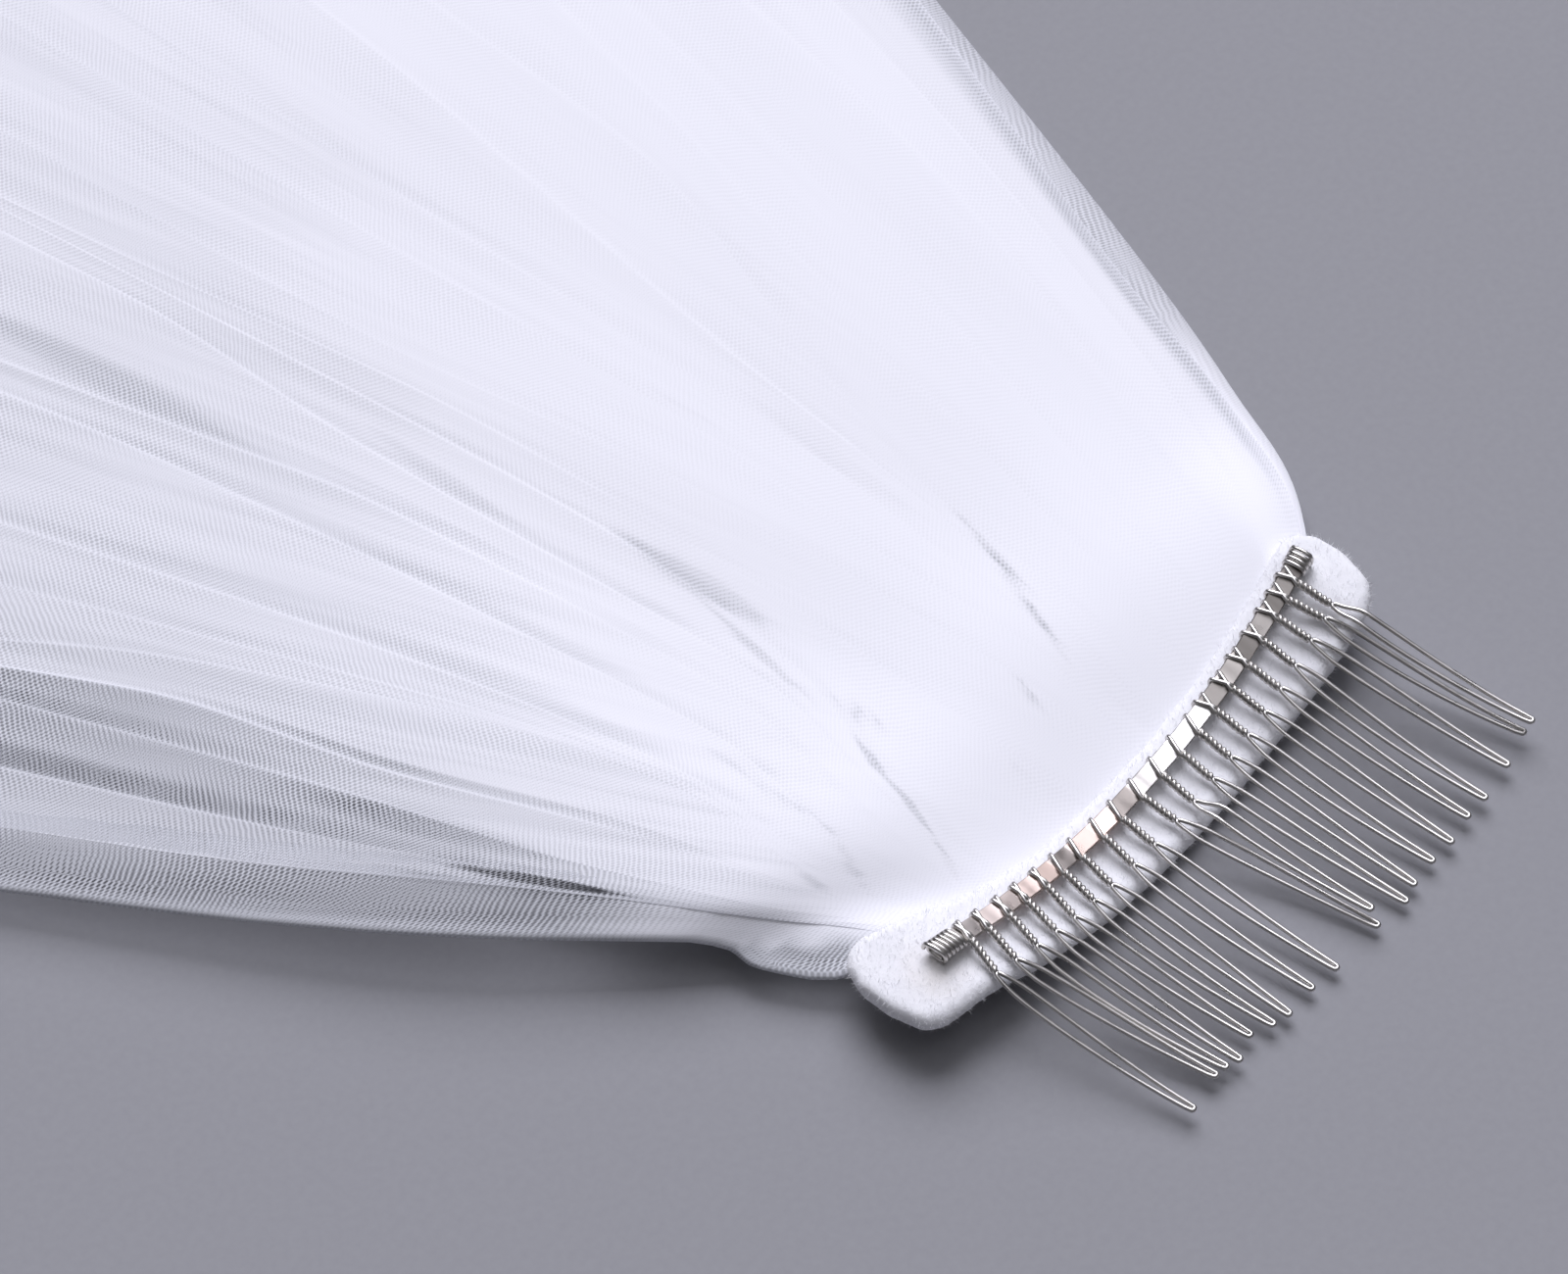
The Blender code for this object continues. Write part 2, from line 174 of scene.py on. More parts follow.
def spline(stations, values, at):
    """A value read on a smooth curve through stations that rise, with no overshoot."""
    if at <= stations[0]:
        return values[0]
    if at >= stations[-1]:
        return values[-1]
    slopes = [(b - a) / (q - p) for p, q, a, b in zip(stations, stations[1:], values, values[1:])]
    turns = [slopes[0]]
    for a, b in zip(slopes, slopes[1:]):
        turns.append(0.0 if a * b <= 0 else 2 * a * b / (a + b))
    turns.append(slopes[-1])
    i = max(j for j in range(len(stations) - 1) if stations[j] <= at)
    step = stations[i + 1] - stations[i]
    x = (at - stations[i]) / step
    return (
        values[i] * (1 + 2 * x) * (1 - x) ** 2
        + turns[i] * step * x * (1 - x) ** 2
        + values[i + 1] * x * x * (3 - 2 * x)
        - turns[i + 1] * step * x * x * (1 - x)
    )


def srgb(code):
    """A colour written as hex, in the linear values that shaders use."""
    parts = [int(code[i : i + 2], 16) / 255 for i in (1, 3, 5)]
    return tuple(c / 12.92 if c <= 0.04045 else ((c + 0.055) / 1.055) ** 2.4 for c in parts) + (1.0,)


def set_sockets(tree, node, sockets):
    """Fills sockets, given as (name or number, value or link). A node stands for the link to its first output."""
    for socket, value in sockets:
        if isinstance(value, bpy.types.Node):
            value = value.outputs[0]
        if isinstance(value, bpy.types.NodeSocket):
            tree.links.new(value, node.inputs[socket])
        else:
            node.inputs[socket].default_value = value


def add_node(tree, kind, sockets=(), **settings):
    """Adds a shader node of a kind, named without its prefix, with its settings and sockets."""
    node = tree.nodes.new("ShaderNode" + kind)
    for name, value in settings.items():
        setattr(node, name, value)
    set_sockets(tree, node, sockets)
    return node


def new_material(name):
    """A material with a Principled shader, as (material, node tree, shader)."""
    material = bpy.data.materials.new(name)
    material.use_nodes = True
    return material, material.node_tree, material.node_tree.nodes["Principled BSDF"]


def placed(name, data):
    """A new object in the scene with this mesh, curve, light or camera, or this bmesh, which is then freed."""
    if isinstance(data, bmesh.types.BMesh):
        shape, data = data, bpy.data.meshes.new(name)
        shape.to_mesh(data)
        shape.free()
    thing = bpy.data.objects.new(name, data)
    bpy.context.scene.collection.objects.link(thing)
    return thing


def net_wave(tree, place, turn):
    """Three waves at 60 degrees added up: the highest in the middle of each hole, the lowest on the threads."""
    wave_number = 2 * math.pi / (NET_PITCH * math.sqrt(3) / 2)
    total = 0.0
    for step, strength in enumerate(LATTICE):
        angle = math.radians(turn + 60 * step)
        along = (wave_number * math.cos(angle) / NET_SQUEEZE, wave_number * math.sin(angle), 0.0)
        dot = add_node(tree, "VectorMath", [(0, place), (1, along)], operation="DOT_PRODUCT")
        wave = add_node(tree, "Math", [(0, dot.outputs["Value"])], operation="COSINE")
        total = add_node(tree, "Math", [(0, wave), (1, strength), (2, total)], operation="MULTIPLY_ADD")
    return total


def make_net_material():
    """Soft nylon net, heat-set and unsized: matt white threads round six-sided holes. Each point of a sheet
    says in its own attributes how many plies lie together there, and how much of a folded edge it is."""
    material, tree, shader = new_material("soft_nylon_net")
    place = add_node(tree, "UVMap", uv_map="net")
    rays = add_node(tree, "UVMap", uv_map="rays")
    plies, edge = (add_node(tree, "Attribute", attribute_name=name).outputs["Fac"] for name in ("plies", "edge"))

    # The threads wander a little, by a few hundredths of a millimetre
    stray = add_node(tree, "TexNoise", [("Vector", place), ("Scale", 0.35), ("Detail", 1.0)])
    moved = [(0, stray.outputs["Color"]), (1, (0.5, 0.5, 0.5)), (2, place)]
    strayed = add_node(tree, "VectorMath", moved, operation="MULTIPLY_ADD")
    covers = []
    for turn in (0.0, PLY_TURN):
        levels = [(0, net_wave(tree, strayed, turn)), (1, THREAD_LEVEL), (2, HOLE_LEVEL), (3, THREAD_COVER), (4, 0.0)]
        covers.append(add_node(tree, "MapRange", levels, interpolation_type="SMOOTHSTEP"))

    # Gathers as fine as a millimetre run along the cloth, as streaks of more and fewer plies
    fine = [("Vector", rays), ("Scale", 1.0), ("Detail", 3.0), ("Roughness", 0.6)]
    streak = add_node(tree, "TexNoise", fine, noise_dimensions="2D")
    uneven = add_node(tree, "MapRange", [(0, streak), (1, 0.3), (2, 0.7), (3, 1.0 - UNEVEN), (4, 1.0 + UNEVEN)])
    count = add_node(tree, "Math", [(0, plies), (1, uneven)], operation="MULTIPLY")

    # What gets through: the holes of the first and second ply, and an even share of each further one
    first = add_node(tree, "Math", [(0, count), (1, 1.0)], operation="MINIMUM")
    second = add_node(tree, "Math", [(0, count), (1, 1.0)], operation="SUBTRACT", use_clamp=True)
    more = add_node(tree, "Math", [(0, count), (1, 2.0)], operation="SUBTRACT")
    more = add_node(tree, "Math", [(0, more), (1, 0.0)], operation="MAXIMUM")
    through = add_node(tree, "Math", [(0, 1.0 - PLY_COVER), (1, more)], operation="POWER")
    stopped = [add_node(tree, "Math", enumerate(pair), operation="MULTIPLY") for pair in zip(covers, (first, second))]
    for cover in (*stopped, edge):
        gap = add_node(tree, "Math", [(0, 1.0), (1, cover)], operation="SUBTRACT", use_clamp=True)
        through = add_node(tree, "Math", [(0, through), (1, gap)], operation="MULTIPLY")
    alpha = add_node(tree, "Math", [(0, 1.0), (1, through)], operation="SUBTRACT", use_clamp=True)

    along = add_node(tree, "SeparateXYZ", [(0, rays)]).outputs["Y"]
    relief = add_node(tree, "MapRange", [(0, along), (1, 0.25), (2, 1.0), (3, 0.0), (4, 0.15)])
    bump = add_node(tree, "Bump", [("Height", streak), ("Strength", relief), ("Distance", 0.0004)])
    # One thread lets light through, and only many together send all of it back
    depth = add_node(tree, "MapRange", [(0, count), (1, THIN_PLIES), (2, WHITE_PLIES)])
    tone = add_node(tree, "Mix", [(0, depth), (6, srgb(ONE_THREAD)), (7, srgb(MANY_THREADS))], data_type="RGBA")
    # Painted shade: where holes lie over holes the colour is darkened, like the shaded cloth below, less so the more
    # plies there are
    holes = [add_node(tree, "Math", [(0, 1.0), (1, cover)], operation="SUBTRACT") for cover in covers]
    both = add_node(tree, "Math", enumerate(holes), operation="MULTIPLY")
    strength = add_node(tree, "MapRange", [(0, depth), (3, HOLE_SHADE_THIN), (4, HOLE_SHADE_WHITE)])
    painted_hole_shade = add_node(tree, "Math", [(0, both), (1, strength)], operation="MULTIPLY")
    light = add_node(tree, "Math", [(0, 1.0 + HOLE_SHADE_WHITE / 2), (1, painted_hole_shade)], operation="SUBTRACT")
    tone = add_node(tree, "VectorMath", [(0, tone.outputs[2]), ("Scale", light)], operation="SCALE")
    set_sockets(tree, shader, [("Base Color", tone), ("Alpha", alpha), ("Normal", bump), ("Roughness", 0.85)])
    set_sockets(tree, shader, [("Specular IOR Level", 0.25), ("Sheen Weight", 0.15), ("Sheen Roughness", 0.6)])
    return material


def make_sheet(name, rows, material):
    """A sheet of cloth from rows (distance, points), with as many points (x, y, z, plies, edge, share, first of a
    fold) in each. The net keeps its size on it: it is laid across from the last fold on, and along from the band."""
    columns, lengths = len(rows[0][1]), len(rows)
    shape = bmesh.new()
    bmesh.ops.create_grid(shape, x_segments=columns - 1, y_segments=lengths - 1, size=1.0)
    plies = shape.verts.layers.float.new("plies")
    edge = shape.verts.layers.float.new("edge")
    net = shape.loops.layers.uv.new("net")
    rays = shape.loops.layers.uv.new("rays")
    across = []
    for _, row in rows:
        total, run = 0.0, []
        for i, point in enumerate(row):
            if i:
                loose = 1.0 - smooth((point[5] - LOOSE_SIDE) / LOOSE_SIDE)
                total += math.dist(point[:3], row[i - 1][:3]) * (1.0 - (1.0 - LOOSE_NET) * loose)
            run.append(total)
        across.append(run)
    starts = [max(j for j in range(i + 1) if j == 0 or rows[0][1][j][6]) for i in range(columns)]
    for vert in shape.verts:
        i = round((vert.co.x + 1) / 2 * (columns - 1))
        j = round((vert.co.y + 1) / 2 * (lengths - 1))
        vert.index = j * columns + i
        point = rows[j][1][i]
        vert.co = Vector(point[:3]) * MM
        vert[plies], vert[edge] = point[3], point[4]
    for face in shape.faces:
        face.smooth = True
        first = min(loop.vert.index % columns for loop in face.loops)
        start = starts[first]
        for loop in face.loops:
            j, i = divmod(loop.vert.index, columns)
            distance, row = rows[j]
            net_x = across[j][i] - across[j][start] + NET_SHIFT[0] * start
            loop[net].uv = (net_x, distance + NET_SHIFT[1] * start)
            # The streaks are longer the farther they lie from the band
            loop[rays].uv = (row[i][5] * RAYS, 6 * math.log1p(max(0.0, distance) / (6 * RAY_LENGTH)))
    bmesh.ops.recalc_face_normals(shape, faces=shape.faces)
    sheet = placed(name, shape)
    sheet.data.materials.append(material)
    return sheet


HOLE_SHADE_THIN, HOLE_SHADE_WHITE = 0.30, 0.07  # painted shade in the holes: how much darker they are, in thin and in thick cloth
THIN_PLIES, WHITE_PLIES = 1.0, 9.0  # plies that have the colour of one thread and of many
ONE_THREAD, MANY_THREADS = "#e0e2e8", "#f5f5fa"
RAYS, RAY_LENGTH = 50.0, 60.0  # gathers across the band, and the length over which a streak changes
UNDER_HEIGHT = 0.35
ROOT_PLIES, ROOT_LENGTH = 0.8, 12  # more plies where the gathers leave the band, and over what length
UNDER_SHARES = (0.0, 0.028, 0.050, 0.062, 0.20, 0.30, 0.42, 0.60, 1.0)  # past the near edge, with the plies there
UNDER_PLIES = (2.0, 2.0, 2.8, 0.8, 0.9, 1.4, 2.6, 4.4, 5.4)
BUNCHED, BUNCHED_START, BUNCHED_END = 5.0, 20.0, 42.0  # plies that bunch up at the near side, beside the band
BUNCHED_EDGE, BUNCHED_WIDTH = -0.006, 0.012  # across the fan
# The fold at the near side: place in rolls from the side, height, how much of an edge it is
NEAR_FOLD = ((0.35, -0.2, 0.6), (0.0, 0.1, 0.95), (0.3, 0.5, 0.8), (1.0, 0.55, 0.35), (2.5, 0.2, 0.0))
ROLL, FOLD_ROLLS = 0.8, 4  # width in which the net folds back on itself, and of the whole fold in rolls
UNDER_COLUMNS = 60
RIPPLE, RIPPLES = 0.12, 66  # height and number of the low ripples between the sides
UNDER_DISTANCES = [-6, -3, *range(0, 16, 2), 17, 20, 24, 28, 33, 38, 44, 50, 57, 64, 72, 80, 90, 100, 110, 120]
UNDER_DISTANCES += [132, 145, 160, 180, 205, 235, 270, 310, *range(350, 650, 50), UNDER_LENGTH]


def under_tier_rows():
    rows = []
    for distance in UNDER_DISTANCES:
        near = spline(*zip(*NEAR_EDGE), distance)
        roll = ROLL / fan_width(distance)
        points = [(near + roll * at, height, strong) for at, height, strong in NEAR_FOLD]
        inner = near + FOLD_ROLLS * roll
        for step in range(UNDER_COLUMNS):
            part = step / (UNDER_COLUMNS - 1)
            held = smooth(part * 4.4) * (1.0 - smooth((part - 0.94) / 0.03))  # they fade towards both sides
            points.append((inner + (1.0 - inner) * part, RIPPLE * math.sin(part * RIPPLES) * held, 0.0))
        points.append((1.0 + 0.1 * roll, 0.1, 0.5))
        row = []
        for i, (share, height, strong) in enumerate(points):
            x, y = cloth_point(share, distance)
            z = lift(share, distance) + UNDER_HEIGHT + height + near_lift(share, distance)
            plies = between(UNDER_SHARES, UNDER_PLIES, share - near)
            plies += ROOT_PLIES * math.exp(-((max(0.0, distance) / ROOT_LENGTH) ** 2))
            beside = 1.0 - smooth((distance - BUNCHED_START) / (BUNCHED_END - BUNCHED_START))
            plies += BUNCHED * beside * smooth((share - BUNCHED_EDGE) / BUNCHED_WIDTH)
            plies *= 1.0 - opening(SLIT, share, distance, SLIT_RIM)
            row.append((x, y, z, plies, strong, share, i == len(NEAR_FOLD)))
        rows.append((distance, row))
    return rows


net_material = make_net_material()
under_tier = make_sheet("under_tier_net", under_tier_rows(), net_material)
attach(under_tier, "root")
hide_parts("veil_under_tier")

# --- Upper tier ---------------------------------------------------------------
# The veil's inner, longer length of the same net, which lies on the under tier and shows most. Its gathers
# open out of the band into flat pleats, each lapped over the next, with one sheer ply beside each fold.

STATIONS = (0, 20, 45, 75, 110, 150, 780)  # distances from the band at which the folds' places are given
PLY_STATIONS = (30, 75, 110, 140)  # and at which the plies are given
FOLDS = (
    # place across the fan at each station; width of the sheer strip past it, plies there and plies of the
    # cloth after it, each at 30, 75, 110 and 140 mm; height of the fold; how bright its edge is; how sudden
    # the sheer strip ends; how far from the band it starts to show
    ((0.018, 0.039, 0.044, 0.048, 0.058, 0.066, 0.08),
     (0.008, 0.01, 0.01, 0.01), (3.4, 3.8, 3.8, 3.8), (3.6, 3.6, 3.8, 3.8), 0.1, 0.45, 1, 24),
    ((0.028, 0.041, 0.059, 0.077, 0.0955, 0.108, 0.125),
     (0.01, 0.024, 0.026, 0.026), (5, 2.2, 1.1, 1), (5.6, 3.4, 3, 2.8), 0.8, 0.4, 2, 80),
    ((0.035, 0.055, 0.08, 0.116, 0.138, 0.152, 0.17),
     (0.004, 0.006, 0.028, 0.028), (7, 5.2, 2.1, 1.9), (7.2, 5.4, 2.8, 2.7), 1.4, 0.3, 3, 70),
    ((0.05, 0.085, 0.124, 0.142, 0.17, 0.164, 0.215),
     (0.004, 0.006, 0.004, 0.004), (7.6, 3, 5.4, 5.2), (8.6, 6.6, 5.6, 5.4), 1.5, 0.6, 2, 50),
    ((0.062, 0.108, 0.185, 0.208, 0.2, 0.176, 0.26),
     (0.004, 0.01, 0.012, 0.012), (8.4, 6.4, 5.6, 5.4), (9.2, 7.2, 6.2, 6), 0.7, 0.3, 1, 78),
    ((0.066, 0.114, 0.194, 0.217, 0.222, 0.225, 0.305),
     (0.003, 0.008, 0.012, 0.012), (8.4, 6.8, 5.8, 5.6), (9.6, 7.6, 6.6, 6.4), 0.5, 0.12, 1, 70),
    ((0.075, 0.124, 0.203, 0.24, 0.258, 0.266, 0.35),
     (0.01, 0.024, 0.022, 0.018), (8.8, 6.2, 5.6, 5.8), (10.4, 8.6, 7.2, 6.8), 1, 0.3, 1, 66),
    ((0.085, 0.155, 0.255, 0.3, 0.332, 0.35, 0.42),
     (0.012, 0.022, 0.03, 0.03), (9.2, 6.8, 5.8, 6), (10.8, 9, 7.4, 7), 1, 0.25, 1, 70),
    ((0.1, 0.19, 0.3, 0.345, 0.37, 0.37, 0.47),
     (0.008, 0.012, 0.012, 0.026), (10, 8.4, 7.4, 6), (11.5, 10, 8.4, 7.6), 1, 0.3, 8, 76),
    ((0.12, 0.225, 0.335, 0.378, 0.412, 0.445, 0.52),
     (0.006, 0.02, 0.022, 0.012), (10, 7.6, 7, 7.2), (12, 10.6, 8.6, 7.6), 0.7, 0.25, 1, 66),
    ((0.138, 0.244, 0.372, 0.425, 0.446, 0.458, 0.55),
     (0.012, 0.02, 0.01, 0.006), (10, 9, 8, 7.6), (13, 12, 9.2, 7.8), 0.7, 0.2, 1, 66),
    ((0.33, 0.37, 0.425, 0.455, 0.47, 0.468, 0.6),
     (0.004, 0.01, 0.02, 0.012), (12, 11, 8.2, 7.6), (14, 13, 9.4, 7.8), 0.4, 0.15, 1, 80),
    ((0.435, 0.464, 0.491, 0.499, 0.492, 0.5, 0.64),
     (0.012, 0.01, 0.01, 0.01), (12, 12, 9.2, 8), (14, 13.5, 9.8, 8.2), 0.3, 0.06, 1, 80),
    ((0.465, 0.513, 0.534, 0.557, 0.562, 0.565, 0.68),
     (0.018, 0.012, 0.01, 0.01), (12, 12, 9.4, 8), (14, 14, 10.4, 8.4), 0.4, 0.1, 1, 100),
    ((0.5, 0.545, 0.582, 0.6, 0.6, 0.605, 0.72),
     (0.02, 0.016, 0.02, 0.02), (12, 12, 9.6, 8.4), (14, 14, 11, 9.4), 0.3, 0.05, 1, 100),
    ((0.53, 0.571, 0.618, 0.637, 0.662, 0.68, 0.765),
     (0.006, 0.02, 0.02, 0.02), (12, 11, 12, 12), (15, 14, 14, 13), 0.5, 0.12, 1, 56),
    ((0.56, 0.605, 0.632, 0.69, 0.737, 0.73, 0.8),
     (0.005, 0.02, 0.02, 0.02), (13, 12, 12, 11), (15, 15, 15, 14), 0.4, 0.1, 1, 100),
    ((0.64, 0.672, 0.712, 0.745, 0.775, 0.79, 0.85),
     (0.01, 0.01, 0.01, 0.01), (13, 14, 14, 12), (15, 15, 15, 14), 0.3, 0.05, 1, 80),
    ((0.72, 0.76, 0.79, 0.81, 0.82, 0.82, 0.88),
     (0.01, 0.01, 0.01, 0.01), (13, 13, 12, 12), (15, 14, 13, 13), 0.3, 0.04, 1, 100),
    ((0.8, 0.85, 0.885, 0.9, 0.888, 0.86, 0.915),
     (0.006, 0.02, 0.03, 0.04), (13, 12.4, 11.6, 11), (14, 13.4, 12.4, 12), 0.4, 0.1, 1, 60),
    ((0.88, 0.92, 0.935, 0.94, 0.935, 0.93, 0.945),
     (0.008, 0.01, 0.01, 0.01), (11, 9.8, 9, 8.4), (12, 10.6, 9.6, 9), 0.4, 0.1, 1, 50),
)  # fmt: skip
# Where the gathers part and fewer plies lie together: place across the fan, its shift over each millimetre
# away from the band, distance from the band, half width, half length, share of the plies that is missing
PARTINGS = (
    (0.0525, 0.001, 61, 0.0045, 5, 0.39),
    (0.096, 0.0009, 64, 0.016, 22, 0.4),
    (0.3865, 0.0005, 143, 0.015, 32, 0.28),
    (0.412, 0.0012, 59, 0.024, 16, 0.4),
    (0.36, 0.0033, 46.4, 0.0095, 13.5, 0.4),
    (0.271, 0.0061, 25, 0.01, 5.4, 0.52),
    (0.219, 0.0062, 16.1, 0.009, 6.2, 0.52),
    (0.155, 0.0073, 6.9, 0.009, 6.4, 0.39),
    (0.329, 0.0021, 30.4, 0.015, 5, 0.44),
    (0.608, 0.0026, 32.1, 0.01, 10.6, 0.5),
    (0.573, 0.0044, 24.7, 0.014, 8.8, 0.4),
    (0.544, 0.005, 18.2, 0.012, 7.4, 0.45),
    (0.442, 0.0054, 14.1, 0.011, 5, 0.52),
    (0.33, 0.0038, 9.3, 0.01, 2.8, 0.34),
    (0.204, 0.0031, 33.6, 0.008, 12.4, 0.24),
    (0.129, 0.0064, 16.7, 0.01, 8.6, 0.3),
    (0.095, 0.0042, 17.6, 0.007, 4.4, 0.34),
    (0.606, 0.0005, 58, 0.016, 20, 0.32),
    (0.5686, 0, 77, 0.004, 9, 0.26),
    (0.412, 0.0012, 96, 0.01, 15, 0.21),
    (0.965, 0, 17, 0.01, 7, 0.3),
)
PARTING_RIM = 1.5  # how sharp their rims are
FAR_SIDE = (0.985, 0.985, 0.974, 0.983, 0.990, 0.985, 0.975)  # where the upper tier ends, at each station
# A lapped fold: its rising side, its edge, and the step down past it, as place (a share of the rising
# side's width before the edge, in millimetres from it after), height as a share, and how much of an edge it is
RISING = ((1.0, 0.0, 0.0), (0.7, 0.2, 0.0), (0.42, 0.6, 0.0), (0.22, 0.88, 0.0), (0.1, 1.0, 0.2), (0.04, 1.0, 0.8))
STEP = ((0.0, 0.85, 1.0), (0.25, 0.45, 0.8), (0.55, 0.12, 0.2), (1.0, 0.0, 0.0))
RISING_WIDTH, RISING_SHARE = 7.0, 0.45  # at most, also as a share of the gap between two folds
STEP_WIDTH, STEP_SHARE = 1.0, 0.12
FULL_GAP = 5.0  # folds closer than this are lower
FOLD_SHARE = 0.14  # of the folds' heights, which are those of the cloth held loosely
FOLDS_LOW, FOLDS_START, FOLDS_GROWN = 0.15, 10.0, 60  # they are lower still beside the band
SHOW_LENGTH, UNSHOWN = 30.0, 0.2  # length over which a fold comes to show, and its share of height before
SHEER_COLUMNS = (0.1, 0.3, 0.5, 0.7, 0.88, 1.0)  # across the sheer strip, and across the rest of the cloth
FLAT_COLUMNS = (0.2, 0.45, 0.7)
FIRST_FILLED = 4  # from this fold on, the sheer strips are less sheer far from the band
FAR_FILL, FILL_START, FILL_LENGTH = 0.3, 90, 50
GATHERED, GATHERED_LENGTH = 6.0, 9.0  # as in the under tier
BRIGHTEST, FAR_FADE, FADE_AT = 0.9, 0.6, 170  # the folds' edges, which are fainter from there on
FAR_HEM = ((1.2, 0.04, 0.0), (0.4, 0.08, 0.1), (0.0, 0.04, 0.3))  # the far side's edge, as in STEP
FAR_HEM_PLIES = 5.0
UPPER_HEIGHT = 1.45
NEAR_GAP = -0.06  # at the near side the upper tier lies tucked under
APART_AT, CLOSE_AT, CLOSE = 0.06, 0.86, 0.8  # the tiers part past the near side and close up at the far side
APART_WIDTH = 0.10
DRAPE, DRAPE_ACROSS, DRAPE_ALONG = 0.5, 9, 160  # low, wide waves: height, number across, length
PUFF, PUFF_AT, PUFF_LENGTH = 2.2, 16.0, 15.0  # the gathers stand up just past the band
HEM_STEP, HEM_DROP = 25.0, 0.9  # the upper tier comes down past the under tier's hem over this length
UPPER_DISTANCES = [-6, -3, 0, 1.5, 3, 4.5, 6, 8, 10, 12, 14, 16.5, 19, 22, 25, 28, 31, 34.5, 38, 42, 46, 50, 54.5]
UPPER_DISTANCES += [*range(59, 149, 5), 150, 157, 165, 175, 188, 205, 225, 250, 280, 315, 355, 400, 450, 500, 550]
UPPER_DISTANCES += [595, 622, 636, 650, 680, 730, UPPER_LENGTH]


def upper_height(share, distance):
    """Height at which the upper tier lies, on the under tier and then on the table."""
    inside = min(1.0, max(0.0, share))
    puff = PUFF * math.sin(math.pi * inside) * math.exp(-(((distance - PUFF_AT) / PUFF_LENGTH) ** 2))
    past_hem = smooth((distance - UNDER_LENGTH - 1.0) / HEM_STEP)
    wave = noise.noise(Vector((share * DRAPE_ACROSS, distance / DRAPE_ALONG, 4.0)))
    drape = DRAPE * wave * smooth(distance / 60)
    raised = lift(share, distance) + near_lift(share, distance) + UNDER_HEIGHT
    apart = smooth((share - APART_AT) / APART_WIDTH) * (1.0 - CLOSE * smooth((share - CLOSE_AT) / APART_WIDTH))
    gap = NEAR_GAP + (UPPER_HEIGHT - UNDER_HEIGHT - NEAR_GAP) * apart
    return raised + gap * (1.0 - HEM_DROP * past_hem) + puff + drape * smooth((share - 0.05) / 0.1)


def upper_tier_rows():
    rows = []
    for distance in UPPER_DISTANCES:
        width = fan_width(distance)
        growth = FOLD_SHARE * (FOLDS_LOW + (1.0 - FOLDS_LOW) * smooth((distance - FOLDS_START) / FOLDS_GROWN))
        places = [spline(STATIONS, values, distance) for values in [fold[0] for fold in FOLDS] + [FAR_SIDE]]
        places.insert(0, places[0] - 0.02)
        partings = [parting for parting in PARTINGS if abs(distance - parting[2]) < parting[4]]
        points = []  # share, height over the cloth below, plies, edge, first of a fold
        for i, (fold, before, here, after) in enumerate(zip(FOLDS, places, places[1:], places[2:])):
            strip, fewest, most = (between(PLY_STATIONS, values, distance) for values in fold[1:4])
            height, bright, sudden, shows = fold[4:]
            shown = smooth((distance - shows + SHOW_LENGTH / 2) / SHOW_LENGTH)
            bright, height = bright * shown, height * (UNSHOWN + (1.0 - UNSHOWN) * shown)
            if i >= FIRST_FILLED:
                fewest += (most - fewest) * FAR_FILL * smooth((distance - FILL_START) / FILL_LENGTH)
            before_body = between(PLY_STATIONS, FOLDS[i - 1][3], distance) if i else fewest
            gap_before, gap_after = (here - before) * width, (after - here) * width
            rising = min(RISING_WIDTH, gap_before * RISING_SHARE) / width
            step = min(STEP_WIDTH, gap_after * STEP_SHARE) / width
            height = height * growth * min(1.0, 0.1 + gap_after / FULL_GAP)
            if i:
                for back, up, fold_edge in RISING:
                    points.append((here - back * rising, up * height, before_body, fold_edge * bright, False))
            for forward, up, fold_edge in STEP:
                plies = before_body if forward == 0.0 else fewest
                points.append((here + forward * step, up * height, plies, fold_edge * bright, forward == 0.0))
            room = after - here - step - min(RISING_WIDTH / width, (after - here) * RISING_SHARE)
            # The sheer strip is narrower beside the band, and takes up from a tenth to 0.85 of the room
            strip = max(min(strip * min(1.0, distance / 15 + 0.2), room * 0.85), room * 0.1)
            for part in SHEER_COLUMNS:
                plies = fewest + (most - fewest) * smooth(part**sudden)
                points.append((here + step + strip * part, 0.0, plies, 0.0, False))
            for part in FLAT_COLUMNS:
                points.append((here + step + strip + (room - strip) * part, 0.0, most, 0.0, False))
        for back, up, fold_edge in FAR_HEM:
            points.append((places[-1] - back / width, up, FAR_HEM_PLIES, fold_edge, False))
        row = []
        for share, up, plies, fold_edge, first in points:
            x, y = cloth_point(share, distance)
            z = upper_height(share, distance) + up
            fade = 1.0 if distance < FADE_AT else FAR_FADE
            plies = plies + GATHERED * math.exp(-max(0.0, distance) / GATHERED_LENGTH)
            plies *= 1.0 - opening(SLIT, share, distance, SLIT_RIM)
            for parting in partings:
                plies *= 1.0 - parting[5] * opening(parting[:5], share, distance, PARTING_RIM)
            row.append((x, y, z, plies, min(BRIGHTEST, fold_edge) * fade, share, first))
        rows.append((distance, row))
    return rows


upper_tier = make_sheet("upper_tier_net", upper_tier_rows(), net_material)
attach(upper_tier, "root")
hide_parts("veil_upper_tier")

# --- Band ---------------------------------------------------------------------
# A strip of white brushed plush, folded over the gathered edges of both tiers and sewn through. Its ends
# are tucked in and rounded, and its pile stands up between the stitches and along its edges.

PLUSH_VOXEL = 0.45
PLUSH_FULL = 0.25  # how far the pile stands out from the folded strip, and how uneven it is
PLUSH_UNEVEN, PLUSH_LOFT = 0.15, 0.07
CORNER, CORNER_RADIUS = (-45.5, -3.0), 4.5  # the near end is cut squarer than the far one
CORNER_PULL = Vector((-1.0, -1.2, 0.0))
PILE_COUNT, PILE_LENGTH, PILE_WIDTH = 15000, 0.75, 0.05
WARM_TINT_PLACE, WARM_TINT_RADIUS, WARM_TINT_STRENGTH = (-39.0, 0.5, 8.5), 6.5, 0.4


